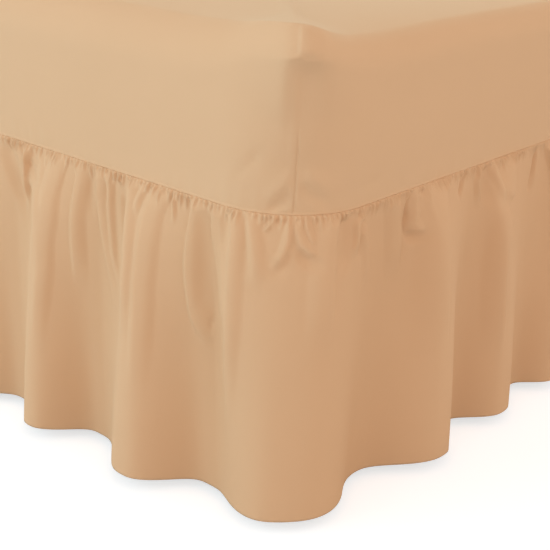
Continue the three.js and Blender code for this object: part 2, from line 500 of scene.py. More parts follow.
def weave_group() -> bpy.types.NodeTree:
    """A plain weave: threads that cross over and under, with uneven thickness.

    Returns:
        The group, with the outputs Height and Shade.
    """
    sheet, given, made = new_group(
        "Plain weave",
        {
            "Vector": ("NodeSocketVector", None),
            "Threads per metre": ("NodeSocketFloat", 1600.0),
            "Slub": ("NodeSocketFloat", 0.5),
        },
        {"Height": "NodeSocketFloat", "Shade": "NodeSocketFloat"},
    )
    split = sheet.add("ShaderNodeSeparateXYZ")
    wander = sheet.add("ShaderNodeTexNoise", noise_dimensions="3D")
    wander.inputs["Scale"].default_value = 60.0
    wander.inputs["Detail"].default_value = 2.0
    sheet.link(given.outputs["Vector"], wander.inputs["Vector"])
    sheet.link(given.outputs["Vector"], split.inputs[0])
    turn = sheet.math("MULTIPLY", given.outputs["Threads per metre"], math.pi)
    waves = []
    for axis in (0, 1):
        place = sheet.math("MULTIPLY", split.outputs[axis], turn)
        swayed = sheet.math("ADD", place, sheet.math("MULTIPLY", wander.outputs["Fac"], 3.0))
        waves.append(sheet.math("SINE", swayed, 0.0))
    crossing = sheet.math("MULTIPLY", waves[0], waves[1])
    slub = sheet.add("ShaderNodeTexNoise", noise_dimensions="3D")
    slub.inputs["Detail"].default_value = 3.0
    slub.inputs["Roughness"].default_value = 0.6
    slub.inputs["Scale"].default_value = 900.0
    stretch = sheet.add("ShaderNodeMapping")
    stretch.inputs["Scale"].default_value = (1.0, 0.25, 1.0)
    sheet.link(given.outputs["Vector"], stretch.inputs["Vector"])
    sheet.link(stretch.outputs["Vector"], slub.inputs["Vector"])
    uneven = sheet.math("MULTIPLY", slub.outputs["Fac"], given.outputs["Slub"])
    height = sheet.math("ADD", sheet.math("MULTIPLY", crossing, 0.5), uneven)
    sheet.link(height, made.inputs["Height"])
    sheet.link(slub.outputs["Fac"], made.inputs["Shade"])
    return sheet.tree


def mottle_group() -> bpy.types.NodeTree:
    """Broad soft patches, as handled cloth has.

    Returns:
        The group, with the output Mask.
    """
    sheet, given, made = new_group(
        "Soft mottle",
        {"Vector": ("NodeSocketVector", None), "Scale": ("NodeSocketFloat", 8.0)},
        {"Mask": "NodeSocketFloat"},
    )
    noise = sheet.add("ShaderNodeTexNoise", noise_dimensions="3D")
    noise.inputs["Detail"].default_value = 4.0
    noise.inputs["Roughness"].default_value = 0.55
    sheet.link(given.outputs["Vector"], noise.inputs["Vector"])
    sheet.link(given.outputs["Scale"], noise.inputs["Scale"])
    sheet.link(noise.outputs["Fac"], made.inputs["Mask"])
    return sheet.tree


def new_material(name: str) -> tuple[bpy.types.Material, NodeSheet, bpy.types.Node]:
    """A material with a Principled shader.

    Args:
        name: the material's name.

    Returns:
        The material, its sheet of nodes and its shader.
    """
    material = bpy.data.materials.new(name)
    material.use_nodes = True
    material.node_tree.nodes.clear()
    sheet = NodeSheet(material.node_tree)
    shader = sheet.add("ShaderNodeBsdfPrincipled")
    output = sheet.add("ShaderNodeOutputMaterial")
    sheet.link(shader.outputs[0], output.inputs["Surface"])
    return material, sheet, shader


@dataclass(frozen=True)
class WovenCloth:
    """A woven cloth in one colour."""

    name: str
    colour: tuple[float, float, float]
    dark: tuple[float, float, float]
    threads: float
    depth: float
    roughness: float
    sheen: float
    uses_uv: bool
    # Painted shade: how far the colour is mixed towards a dark colour where a point's painted-shade share is
    # full, and that dark colour.
    painted_shade_tone: float = 0.0
    painted_shade_colour: tuple[float, float, float] = (0.5, 0.24, 0.09)

    def material(self, weave: bpy.types.NodeTree, mottle: bpy.types.NodeTree) -> bpy.types.Material:
        """Make the cloth's material.

        Args:
            weave: the plain weave group.
            mottle: the soft mottle group.

        Returns:
            The material.
        """
        material, sheet, shader = new_material(self.name)
        place = sheet.add("ShaderNodeTexCoord")
        where = place.outputs["UV"] if self.uses_uv else place.outputs["Object"]
        threads = sheet.add("ShaderNodeGroup", node_tree=weave)
        threads.inputs["Threads per metre"].default_value = self.threads
        patches = sheet.add("ShaderNodeGroup", node_tree=mottle)
        sheet.link(where, threads.inputs["Vector"])
        sheet.link(place.outputs["Object"], patches.inputs["Vector"])
        speck = sheet.math("MULTIPLY", threads.outputs["Shade"], 0.35)
        broad = sheet.math("MULTIPLY", patches.outputs["Mask"], 0.35)
        share = sheet.math("ADD", speck, broad)
        colour = sheet.mix(share, (*self.colour, 1.0), (*self.dark, 1.0))
        # Painted shade: the colour is mixed towards a dark brown by the points' painted-shade share.
        if self.painted_shade_tone > 0:
            hollow = sheet.add("ShaderNodeAttribute", attribute_name=PAINTED_SHADE)
            tone = sheet.math("MULTIPLY", hollow.outputs["Fac"], self.painted_shade_tone)
            colour = sheet.mix(tone, colour, (*self.painted_shade_colour, 1.0))
        sheet.link(colour, shader.inputs["Base Color"])
        rough = sheet.math("ADD", sheet.math("MULTIPLY", threads.outputs["Shade"], 0.1), self.roughness)
        sheet.link(rough, shader.inputs["Roughness"])
        sheet.bump(shader, threads.outputs["Height"], 0.35, self.depth)
        shader.inputs["Sheen Weight"].default_value = self.sheen
        shader.inputs["Sheen Roughness"].default_value = 0.5
        shader.inputs["Specular IOR Level"].default_value = 0.08
        shader.inputs["Diffuse Roughness"].default_value = 0.2
        return material


@dataclass(frozen=True)
class MouldedPlastic:
    """A dark moulded plastic with a fine grain."""

    name: str
    colour: tuple[float, float, float]
    roughness: float

    def material(self, mottle: bpy.types.NodeTree) -> bpy.types.Material:
        """Make the plastic's material.

        Args:
            mottle: the soft mottle group.

        Returns:
            The material.
        """
        material, sheet, shader = new_material(self.name)
        place = sheet.add("ShaderNodeTexCoord")
        grain = sheet.add("ShaderNodeGroup", node_tree=mottle)
        grain.inputs["Scale"].default_value = 900.0
        sheet.link(place.outputs["Object"], grain.inputs["Vector"])
        lighter = tuple(min(1.0, value * 1.6 + 0.01) for value in self.colour)
        colour = sheet.mix(grain.outputs["Mask"], (*self.colour, 1.0), (*lighter, 1.0))
        sheet.link(colour, shader.inputs["Base Color"])
        rough = sheet.math("ADD", sheet.math("MULTIPLY", grain.outputs["Mask"], 0.15), self.roughness)
        sheet.link(rough, shader.inputs["Roughness"])
        sheet.bump(shader, grain.outputs["Mask"], 0.2, 0.0003)
        return material


@dataclass(frozen=True)
class Finishes:
    """The materials of the whole object."""

    sheet: bpy.types.Material
    # The frill's material is the panel's percale with painted shade.
    frill: bpy.types.Material
    ticking: bpy.types.Material
    base: bpy.types.Material
    plastic: bpy.types.Material


def make_finishes() -> Finishes:
    """Make every material, with the groups that they share.

    Returns:
        The materials.
    """
    weave, mottle = weave_group(), mottle_group()
    percale = WovenCloth(
        name="Peach percale",
        colour=(0.72, 0.485, 0.297), dark=(0.663, 0.442, 0.262),
        threads=1500.0, depth=0.0002, roughness=0.95, sheen=0.0, uses_uv=True,
    )
    # The frill's copy of the same percale, painted a little darker overall, with painted shade in its hollows
    # and towards its hem.
    percale_painted_shade = replace(
        percale, name="Peach percale, painted shade",
        colour=(0.718, 0.475, 0.288), dark=(0.661, 0.433, 0.254), painted_shade_tone=0.17,
    )
    ticking = WovenCloth(
        name="Mattress ticking", colour=(0.82, 0.79, 0.73), dark=(0.7, 0.67, 0.6),
        threads=700.0, depth=0.0004, roughness=0.85, sheen=0.1, uses_uv=False,
    )
    base = WovenCloth(
        name="Base cloth", colour=(0.7, 0.66, 0.58), dark=(0.56, 0.52, 0.45),
        threads=600.0, depth=0.0004, roughness=0.85, sheen=0.1, uses_uv=False,
    )
    plastic = MouldedPlastic(name="Foot plastic", colour=(0.02, 0.02, 0.02), roughness=0.4)
    return Finishes(
        sheet=percale.material(weave, mottle),
        frill=percale_painted_shade.material(weave, mottle),
        ticking=ticking.material(weave, mottle),
        base=base.material(weave, mottle),
        plastic=plastic.material(mottle),
    )


# ---------------------------------------------------------------------------
# The frill
# ---------------------------------------------------------------------------


@dataclass
class Fold:
    """One of the frill's main folds, with the hollow after it.

    Attributes:
        crest: the places where the crest starts and ends at the hem.
        out: how far the crest stands out at the hem.
        hollow: the places where the hollow starts and ends at the hem.
        dip: how far out the hollow lies.
        drift: how far to the side the head of the fold lies.
        edge: where the crest starts higher up, if not at its own start.
    """

    crest: tuple[float, float]
    out: float
    hollow: tuple[float, float]
    dip: float
    drift: float
    edge: float | None = None

    @property
    def middle(self) -> float:
        """The middle of the crest."""
        return sum(self.crest) / 2

    @property
    def end(self) -> float:
        """The middle of the hollow."""
        return sum(self.hollow) / 2


CORNER_FOLDS = (
    Fold(crest=(-562, -544), out=60, hollow=(-478, -462), dip=15, drift=-20),
    Fold(crest=(-395, -386), out=66, hollow=(-318, -296), dip=4, drift=-14),
    Fold(crest=(-207, -194), out=62, hollow=(-116, -92), dip=-8, drift=-22),
    Fold(crest=(-12, 24), out=43, hollow=(140, 150), dip=-8, drift=0, edge=-62),
    Fold(crest=(262, 274), out=60, hollow=(350, 364), dip=4, drift=-8),
    Fold(crest=(438, 450), out=56, hollow=(538, 546), dip=15, drift=-30),
    Fold(crest=(598, 612), out=60, hollow=(676, 692), dip=3, drift=10),
)

# Ridges and troughs round the foot's right corner, at their measured places.
CORNER_CREASES = [
    # The first fold on the foot: a flat cone of cloth with pleats running down into it.
    Crease(((-488, 411), (-468, 392), (-456, 377), (-439, 365), (-415, 348), (-398, 325), (-391, 273),
           (-388, 214)), 4, 12, 14, Section.PLEAT, 0.03, 0.5),
    Crease(((-461, 411), (-444, 394), (-429, 383), (-416, 373)), 1.5, 9, 9, Section.ROUND, 0.05, 0.5),
    Crease(((-440, 410), (-421, 393), (-408, 365), (-401, 344)), 2, 8, 9, Section.PLEAT, 0.05, 0.5),
    Crease(((-412, 411), (-408, 398), (-406, 386)), 3, 6, 6, Section.ROUND, 0.05, 0.5),
    Crease(((-391, 411), (-386, 385), (-387, 358), (-384, 324), (-385, 298), (-382, 266), (-381, 240),
           (-384, 130)), 5, 20, 20, Section.TUCK, 0.03, 0.35, 0.6),
    # Two lone pleats in the hollow after it.
    Crease(((-346, 411), (-340, 388), (-341, 364), (-341, 331), (-339, 300), (-336, 266), (-333, 225)), 6,
           9, 15, Section.PLEAT, 0.04, 0.45),
    Crease(((-340, 411), (-334, 388), (-336, 365), (-339, 332), (-340, 302), (-338, 270)), 3, 8, 12,
           Section.ROUND, 0.04, 0.5),
    Crease(((-312, 411), (-304, 397), (-305, 378), (-301, 355), (-295, 324), (-287, 297), (-279, 272),
           (-271, 245), (-261, 210)), 7, 7, 18, Section.PLEAT, 0.04, 0.4),
    Crease(((-296, 411), (-285, 390), (-284, 364), (-280, 334), (-273, 298), (-259, 265), (-242, 243)), 6,
           9, 10, Section.ROUND, 0.04, 0.4),
    Crease(((-270, 409), (-261, 394)), 4, 3, 3, Section.ROUND, 0.05, 0.5),
    # The second fold: a flat cone again, with a hooked pleat down its edge.
    Crease(((-229, 411), (-238, 408), (-243, 402), (-241, 393), (-237, 376), (-234, 362), (-227, 341),
           (-221, 317), (-219, 290), (-217, 250), (-214, 200)), 7, 7, 16, Section.PLEAT, 0.02, 0.4),
    Crease(((-211, 411), (-219, 401), (-223, 388), (-223, 373), (-227, 361)), 5, 9, 9, Section.ROUND, 0.05,
           0.5),
    Crease(((-193, 411), (-197, 396), (-201, 376), (-200, 354), (-199, 331), (-198, 307), (-197, 284),
           (-194, 251), (-192, 210), (-192, 120)), 5, 16, 24, Section.TUCK, 0.03, 0.4, 0.7),
    Crease(((-171, 411), (-169, 401), (-165, 383), (-165, 366)), 4, 4, 5, Section.ROUND, 0.05, 0.5),
    Crease(((-163, 411), (-164, 395)), 4, 4, 4, Section.ROUND, 0.05, 0.5),
    # A lone pleat that curls under a deep pocket.
    Crease(((-136, 411), (-131, 397), (-133, 377), (-135, 345), (-135, 315), (-131, 285), (-127, 260),
           (-121, 243), (-112, 234), (-98, 235), (-76, 240)), 7, 9, 28, Section.PLEAT, 0.03, 0.3),
    Crease(((-108, 411), (-98, 394), (-98, 375), (-93, 349), (-89, 329), (-85, 306), (-83, 280), (-85,
           245)), 6, 10, 22, Section.PLEAT, 0.04, 0.35),
    Crease(((-98, 411), (-97, 397), (-98, 384)), 4, 4, 5, Section.ROUND, 0.05, 0.4),
    # The corner fold's left side.
    Crease(((-80, 411), (-71, 400), (-66, 388), (-64, 369), (-63, 343), (-62, 313), (-62, 263), (-63, 230),
           (-64, 180), (-67, 116)), 6, 8, 14, Section.PLEAT, 0.03, 0.5),
    Crease(((-68, 411), (-67, 392)), 4, 4, 4, Section.ROUND, 0.05, 0.4),
    Crease(((-57, 411), (-50, 404), (-46, 389), (-42, 371), (-39, 354), (-38, 342), (-41, 332), (-49, 323)),
           6, 9, 15, Section.ROUND, 0.06, 0.4),
    Crease(((-24, 411), (-26, 400), (-30, 393), (-36, 390)), 3, 4, 4, Section.ROUND, 0.05, 0.3),
    Crease(((-41, 411), (-37, 402), (-34, 395)), 3, 4, 4, Section.ROUND, 0.05, 0.4),
    Crease(((-12, 410), (-12, 403)), 3, 5, 5, Section.ROUND, 0.05, 0.4),
    # The swags across the corner.
    Crease(((-3, 411), (-5, 400), (-5, 390), (-8, 374), (-12, 362), (-19, 354), (-27, 348)), 5, 8, 8,
           Section.ROUND, 0.04, 0.3),
    Crease(((2, 411), (6, 390), (12, 376), (22, 367), (30, 367), (37, 371)), 5, 8, 12, Section.ROUND, 0.06,
           0.3),
    Crease(((13, 411), (18, 390), (24, 376), (29, 368)), 4, 5, 8, Section.ROUND, 0.06, 0.4),
    Crease(((52, 411), (48, 397), (45, 384), (42, 366), (40, 347), (38, 328), (38, 300), (37, 230)), 7, 24,
           11, Section.TUCK, 0.04, 0.5),
    # The pocket to the right of the corner, with thin pleats in it.
    Crease(((69, 411), (61, 397)), 4, 3, 3, Section.ROUND, 0.05, 0.4),
    Crease(((80, 410), (66, 395)), 4, 3, 3, Section.ROUND, 0.05, 0.4),
    Crease(((107, 411), (98, 400), (90, 395), (86, 389), (85, 374), (83, 363), (84, 348)), 6, 6, 9,
           Section.ROUND, 0.04, 0.3),
    Crease(((96, 389), (103, 377), (110, 350), (113, 325), (115, 290)), 5, 12, 12, Section.ROUND, 0.15,
           0.5),
    Crease(((172, 411), (173, 392), (182, 355), (187, 317), (189, 285)), 7, 24, 10, Section.TUCK, 0.04,
           0.4),
    # A flat pleat with a shelf under it.
    Crease(((215, 411), (209, 391), (211, 374), (209, 361), (213, 356), (224, 353), (238, 355)), 6, 8, 16,
           Section.PLEAT, 0.04, 0.2),
    Crease(((251, 411), (243, 389), (244, 375), (246, 358), (250, 338)), 4, 12, 10, Section.ROUND, 0.05,
           0.4),
    Crease(((294, 411), (277, 395), (270, 383), (265, 361), (259, 339), (256, 314), (253, 286), (253, 221),
           (255, 150)), 7, 40, 9, Section.TUCK, 0.03, 0.6),
    Crease(((383, 411), (373, 393), (377, 370), (385, 345)), 6, 9, 9, Section.ROUND, 0.05, 0.5),
    Crease(((424, 411), (411, 397), (417, 380), (422, 364), (430, 350)), 6, 10, 14, Section.ROUND, 0.04,
           0.35),
    Crease(((476, 411), (467, 400), (459, 387), (451, 366), (434, 346)), 9, 34, 9, Section.TUCK, 0.04,
           0.25),
    Crease(((433, 348), (425, 308), (420, 273), (418, 230), (422, 168), (424, 110)), 6, 24, 9, Section.TUCK,
           0.1, 0.4),
    # Troughs.
    Crease(((-469, 408), (-454, 394)), -3, 6, 6, Section.ROUND, 0.1, 0.5),
    Crease(((-505, 408), (-490, 380), (-470, 350), (-450, 320), (-430, 280)), -6, 20, 20, Section.ROUND,
           0.15, 0.5),
    Crease(((-320, 400), (-321, 370), (-318, 330)), -2, 8, 8, Section.ROUND, 0.2, 0.4),
    Crease(((-258, 392), (-254, 360), (-247, 320), (-240, 290)), -4, 10, 8, Section.ROUND, 0.2, 0.4),
    Crease(((-167, 409), (-173, 394)), -3, 5, 5, Section.ROUND, 0.05, 0.5),
    Crease(((-119, 400), (-119, 350), (-118, 300), (-114, 256)), -2, 12, 12, Section.ROUND, 0.1, 0.2),
    Crease(((-85, 406), (-81, 385), (-78, 360), (-73, 325)), -2, 8, 8, Section.ROUND, 0.1, 0.3),
    Crease(((-17, 410), (-17, 399)), -3, 3, 3, Section.ROUND, 0.05, 0.5),
    Crease(((-3, 368), (-8, 354), (-15, 343), (-25, 337)), -2, 8, 8, Section.ROUND, 0.2, 0.3),
    Crease(((5, 374), (13, 360), (24, 354), (38, 356)), -4, 9, 9, Section.ROUND, 0.3, 0.3),
    Crease(((70, 408), (67, 385), (64, 360), (63, 330)), -5, 16, 16, Section.ROUND, 0.06, 0.3),
    Crease(((91, 374), (92, 352)), -3, 5, 5, Section.ROUND, 0.3, 0.3),
    Crease(((206, 411), (205, 382), (204, 362), (214, 345), (231, 342), (249, 341)), -6, 12, 12,
           Section.ROUND, 0.06, 0.3),
    Crease(((222, 406), (238, 397)), -3, 6, 6, Section.ROUND, 0.1, 0.3),
    Crease(((336, 411), (330, 391), (320, 373)), -6, 8, 8, Section.ROUND, 0.05, 0.3),
    Crease(((398, 408), (397, 380), (400, 340)), -5, 16, 16, Section.ROUND, 0.1, 0.4),
    Crease(((544, 411), (541, 384), (534, 359), (523, 336)), -8, 9, 8, Section.ROUND, 0.05, 0.3),
]


@dataclass
class Frill:
    """The gathered frill: four strips, each round one corner of the bed."""

    seam: SeamLine
    drop: float = 398.0
    gap: float = 0.02
    cloth: float = 1.1
    head_stand: float = 0.6
    fullest: float = 66.0
    drift_power: float = 1.5
    spread_seed: int = 11
    pleat_seed: int = 23
    strips: tuple[tuple[str, int], ...] = (
        ("frill_foot_right", 7), ("frill_head_right", 8), ("frill_head_left", 7), ("frill_foot_left", 8),
    )
    # Share of the drop, and how far the main folds have opened there.
    opening: tuple[tuple[float, float], ...] = (
        (0.0, 0.0), (0.03, 0.07), (0.08, 0.22), (0.14, 0.37), (0.2, 0.49),
        (0.32, 0.63), (0.45, 0.74), (0.6, 0.83), (0.78, 0.92), (1.0, 1.0),
    )
    # Rows tucked up behind the panel's edge: rise above the seam, reach, share of the gathers.
    tuck: tuple[tuple[float, float, float], ...] = (
        (2.4, -2.4, 0.0), (0.4, -2.3, 0.0), (-0.02, -1.0, 0.0), (-0.03, 0.5, 0.06),
    )
    slim: float = 2.6
    softened: int = 4
    # How much of the pleats and gathers there is at the seam, and how far down they are full.
    pleat_start: float = 0.12
    pleat_full: float = 15.0
    gather_start: float = 0.45
    gather_full: float = 3.0
    fullness: float = 1.4
    # Painted shade that darkens the hollows and the hem: how far in the deepest hollow lies, the painted
    # shade at the seam, what the cloth below adds and the share of the drop over which it does, and what
    # grows evenly down to the hem.
    deepest: float = 8.0
    painted_shade_at_seam: float = 0.4
    painted_shade_below: float = 0.4
    painted_shade_reach: float = 0.1
    painted_shade_hem: float = 0.25
    # Rows down the cloth: the head's (step, count) pairs, the body's step and count, how many
    # rows share the length that is left, and the steps down to the hem.
    head_first: float = 0.2
    head_steps: tuple[tuple[float, int], ...] = ((1.3, 6), (2.2, 6), (3.1, 7))
    body_step: float = 5.4
    body_count: int = 22
    free_count: int = 23
    hem_steps: tuple[float, ...] = (7.0, 6.0, 4.5, 3.0, 3.0)
    visible: tuple[float, float] = (-505.0, 590.0)
    fine_step: float = 2.4
    coarse_step: float = 5.0
    folds: list[Fold] = field(default_factory=list)

    def lay_out(self) -> None:
        """Work out all the folds round the bed."""
        spread = Spread(self.spread_seed)
        count = sum(folds for _, folds in self.strips) - len(CORNER_FOLDS)
        start = CORNER_FOLDS[-1].hollow[1]
        pitch = (CORNER_FOLDS[0].crest[0] + self.seam.length - start) / (count + 0.5)
        self.folds = [replace(fold) for fold in CORNER_FOLDS]
        for i in range(count):
            sway = spread.either_way(18)
            crest = start + pitch * (i + 0.5) + sway
            hollow = start + pitch * (i + 1) + sway / 2
            half_crest = spread.between(10, 40) / 2
            half_hollow = spread.between(12, 30) / 2
            self.folds.append(Fold(
                crest=(crest - half_crest, crest + half_crest),
                out=spread.between(46, 64),
                hollow=(hollow - half_hollow, hollow + half_hollow),
                dip=spread.between(-8, 12),
                drift=spread.either_way(28),
            ))
        self.level_sides()

    def level_sides(self) -> None:
        """Let the fullest fold of each side stand out equally far."""
        sides: dict[str, list[Fold]] = {}
        for fold in self.folds:
            x, y = self.seam.plan(np.array([fold.crest[0]]), np.zeros(1))
            across = abs(x[0]) / self.seam.half_width > abs(y[0]) / self.seam.half_length
            name = ("right" if x[0] > 0 else "left") if across else ("head" if y[0] > 0 else "foot")
            sides.setdefault(name, []).append(fold)
        for folds in sides.values():
            hidden = [fold for fold in folds if fold not in self.folds[: len(CORNER_FOLDS)]]
            if all(fold.out < self.fullest for fold in folds):
                max(hidden, key=lambda fold: fold.out).out = self.fullest

    def stations(self) -> np.ndarray:
        """Places round the bed with the hem's reach and the fold's drift, for interpolation.

        Returns:
            Rows of place, reach and drift, a little past one whole turn.
        """
        rows = []
        steps = np.linspace(0, 1, 9)
        climb = (1 - np.cos(np.pi * steps)) / 2
        for before, fold in zip(self.turned(-1), self.turned(0)):
            place = mixed(before.hollow[1], fold.crest[0], steps)
            rows += zip(place, mixed(before.dip, fold.out, climb), mixed(before.drift, fold.drift, steps))
            place = mixed(fold.crest[1], fold.hollow[0], steps)
            rows += zip(place, mixed(fold.out, fold.dip, climb), steps * 0 + fold.drift)
        return np.array(rows)

    def slim_stations(self) -> np.ndarray:
        """Places round the bed with the reach higher up: short rises and long straight falls.

        Returns:
            Rows of place and reach, a little past one whole turn.
        """
        rows = []
        steps = np.linspace(0, 1, 13)
        late = (1 - np.cos(np.pi * steps**self.slim)) / 2
        for before, fold in zip(self.turned(-1), self.turned(0)):
            start = fold.crest[0] if fold.edge is None else fold.edge
            rows += zip(mixed(before.hollow[1], start, steps), mixed(before.dip, fold.out, late))
            rows.append((fold.crest[1], fold.out))
        return np.array(rows)

    def turned(self, back: int) -> list[Fold]:
        """The folds three times over, from one turn back to one turn on.

        Args:
            back: 0 for the folds themselves, -1 for the fold before each.

        Returns:
            The folds in order.
        """
        shifted = []
        for turn in (-1, 0, 1):
            for fold in self.folds:
                move = turn * self.seam.length
                shifted.append(replace(
                    fold,
                    crest=(fold.crest[0] + move, fold.crest[1] + move),
                    hollow=(fold.hollow[0] + move, fold.hollow[1] + move),
                    edge=None if fold.edge is None else fold.edge + move,
                ))
        return shifted[:-1] if back else shifted[1:]

    def column_places(self, start: float, end: float) -> np.ndarray:
        """Places of a strip's columns, closer together where the cloth is near the eye.

        Args:
            start: where the strip starts.
            end: where it ends.

        Returns:
            The places from start to end.
        """
        fine = np.arange(start, end, 1.0)
        seen = (fine > self.visible[0]) & (fine < self.visible[1])
        steps = np.where(seen, 1 / self.fine_step, 1 / self.coarse_step)
        count = int(round(steps.sum()))
        filled = np.concatenate([[0], np.cumsum(steps)])
        marks = np.concatenate([fine, [end]])
        return np.interp(np.linspace(0, filled[-1], count + 1), filled[: len(marks)], marks)

    def row_falls(self) -> tuple[np.ndarray, np.ndarray]:
        """Distances down the cloth of its rows.

        Returns:
            Those of the head, then those of the rows below it.
        """
        close = [step for step, count in self.head_steps for _ in range(count)]
        head = np.concatenate([[self.head_first], self.head_first + np.cumsum(close)])
        left = self.drop - head[-1] - sum(self.hem_steps) - self.body_step * self.body_count
        steps = [self.body_step] * self.body_count + [left / self.free_count] * self.free_count
        return head, head[-1] + np.cumsum([*steps, *self.hem_steps])

    def hem_line(self, places: np.ndarray) -> list[np.ndarray]:
        """How far out the hem lies at each place, and how the fold above it differs.

        Args:
            places: places along the seam.

        Returns:
            The reach, the drift and the slim reach.
        """
        stations, slim = self.stations(), self.slim_stations()
        marks = np.arange(places[0] - 60, places[-1] + 60)
        away = np.arange(-3 * self.softened, 3 * self.softened + 1)
        weights = np.exp(-0.5 * (away / self.softened) ** 2)
        weights /= weights.sum()
        found = []
        for where, what in ((stations[:, 0], stations[:, 1]), (stations[:, 0], stations[:, 2]), slim.T):
            plain = np.interp(marks, where, what)
            found.append(np.interp(places, marks, np.convolve(plain, weights, mode="same")))
        return found

    def pleats(self, folds: list[Fold], start: float, end: float) -> list[Crease]:
        """Pleats of a strip: the measured ones near the foot's right corner, and alike ones elsewhere.

        Args:
            folds: the strip's folds.
            start: where the strip starts.
            end: where it ends.

        Returns:
            The creases.
        """
        spread = Spread(self.pleat_seed + int(abs(start)))
        top = self.seam.height - 1
        creases = []
        for fold in folds:
            if self.visible[0] < fold.middle < self.visible[1]:
                continue
            head = fold.middle + fold.drift
            for side in (-1, 0, 1):
                foot = fold.middle + fold.drift * 0.3 + side * spread.between(2, 12)
                first = head + side * spread.between(24, 46) + spread.either_way(8)
                fall = spread.between(90, 210)
                middle = (mixed(first, foot, 0.62), top - fall * 0.4)
                path = ((first, top), middle, (foot, top - fall))
                shape = Section.PLEAT if spread.share() < 0.5 else Section.TUCK
                narrow, wide = spread.between(6, 9), spread.between(16, 28)
                before, after = (narrow, wide) if shape is Section.PLEAT else (wide, narrow)
                creases.append(Crease(path, spread.between(8, 12), before, after, shape, 0.05, 0.4))
            for _ in range(3):
                first = fold.end + fold.drift * 0.7 + spread.either_way(38)
                fall = spread.between(30, 130)
                path = ((first, top), (first + spread.either_way(7), top - fall / 2),
                        (first + spread.either_way(12), top - fall))
                wide = spread.between(6, 11)
                creases.append(Crease(path, spread.between(5, 10), wide, wide, Section.ROUND, 0.05, 0.5))
        if start < 0 < end:
            creases += CORNER_CREASES
        return creases

    def gathers(self, start: float, end: float) -> list[Crease]:
        """The fine gathers right under the seam.

        Args:
            start: where the strip starts.
            end: where it ends.

        Returns:
            The creases.
        """
        spread = Spread(self.pleat_seed * 3 + int(abs(start)))
        top = self.seam.height
        creases = []
        place = start
        while place < end:
            seen = self.visible[0] < place < self.visible[1]
            fall = spread.between(7, 26)
            wide = spread.between(2.3, 3.9) if seen else spread.between(4.0, 6.0)
            path = ((place, top + 3), (place + spread.either_way(3), top - fall))
            rise = spread.between(2.2, 5.4)
            creases.append(Crease(path, rise, wide, wide, Section.ROUND, 0.02, 0.8))
            place += spread.between(1.4, 2.6) * wide
        return creases

    def surface(
        self, start: float, end: float, folds: list[Fold]
    ) -> tuple[np.ndarray, np.ndarray, list, np.ndarray]:
        """The cloth's outer face: fine columns at the head, half as many below.

        Args:
            start: where the strip starts.
            end: where it ends.
            folds: the strip's folds.

        Returns:
            Points in metres, cloth places in metres, the faces, and each point's share of painted shade.
        """
        places = self.column_places(start, end)
        spans = len(places) - 1
        close = np.interp(np.arange(2 * spans + 1) / 2, np.arange(spans + 1), places)
        head, body = self.row_falls()
        pleats, gathers = self.pleats(folds, start, end), self.gathers(start, end)
        top, top_cloth, top_painted_shade = self.hang(close, head, pleats, gathers)
        lower, lower_cloth, lower_painted_shade = self.hang(places, body, pleats, gathers)
        tucked = []
        head_places = close + self.hem_line(close)[1]
        for rise, reach, share in self.tuck:
            gathered = share * relief(gathers, head_places, close * 0 + self.seam.height - 3)
            x, y = self.seam.plan(head_places, reach + gathered)
            tucked.append(np.stack([x, y, x * 0 + self.seam.height + rise], axis=-1))
        tucked_cloth = np.stack(
            [np.stack([top_cloth[0, :, 0], close * 0 + rise], axis=-1) for rise, _, _ in self.tuck]
        )
        top = np.concatenate([np.stack(tucked), top])
        top_cloth = np.concatenate([tucked_cloth, top_cloth])
        top_painted_shade = np.concatenate([top_painted_shade[:1]] * len(self.tuck) + [top_painted_shade])
        rows, columns = top.shape[:2]
        faces = grid_faces(rows, columns, looped=False).tolist()
        last, first = (rows - 1) * columns, rows * columns
        faces += [
            [last + 2 * i, first + i, first + i + 1, last + 2 * i + 2, last + 2 * i + 1] for i in range(spans)
        ]
        faces += (grid_faces(len(body), spans + 1, looped=False) + first).tolist()
        points = np.concatenate([top.reshape(-1, 3), lower.reshape(-1, 3)]) * MM
        cloth = np.concatenate([top_cloth.reshape(-1, 2), lower_cloth.reshape(-1, 2)]) * MM
        return points, cloth, faces, np.concatenate([top_painted_shade.ravel(), lower_painted_shade.ravel()])

    def hang(
        self, places: np.ndarray, falls: np.ndarray, pleats: list[Crease], gathers: list[Crease]
    ) -> tuple[np.ndarray, np.ndarray, np.ndarray]:
        """Where the cloth hangs.

        Args:
            places: the columns' places along the seam.
            falls: the rows' distances down the cloth.
            pleats: the main pleats.
            gathers: the fine gathers.

        Returns:
            Points, cloth places and each point's share of painted shade, by row and column.
        """
        hem_out, hem_drift, slim_out = self.hem_line(places)
        opening = np.array(self.opening)
        share, out = np.meshgrid(falls / self.drop, hem_out, indexing="ij")
        opened = np.interp(share, opening[:, 0], opening[:, 1])
        along = places[None, :] + hem_drift[None, :] * (1 - share) ** self.drift_power
        height = self.seam.height - self.gap - np.sqrt(self.drop**2 - out**2) * share
        fallen = share * self.drop
        reach = mixed(slim_out[None, :], out, smooth(share))
        stand = self.head_stand + (reach - self.head_stand) * opened
        for creases, start, full in (
            (pleats, self.pleat_start, self.pleat_full),
            (gathers, self.gather_start, self.gather_full),
        ):
            stand = stand + relief(creases, along, height) * (start + (1 - start) * smooth(fallen / full))
        x, y = self.seam.plan(along, stand)
        cloth = np.stack([places[None, :] * self.fullness + 0 * share, -fallen], axis=-1)
        # Painted shade: darker the further in the hollow lies, more so below the seam, and growing evenly
        # down to the hem.
        hollow_shade = np.clip((self.fullest - reach) / (self.fullest + self.deepest), 0, 1)
        lower = self.painted_shade_below * smooth(share / self.painted_shade_reach)
        hollow = hollow_shade * (self.painted_shade_at_seam + lower) + self.painted_shade_hem * share
        return np.stack([x, y, height], axis=-1), cloth, hollow

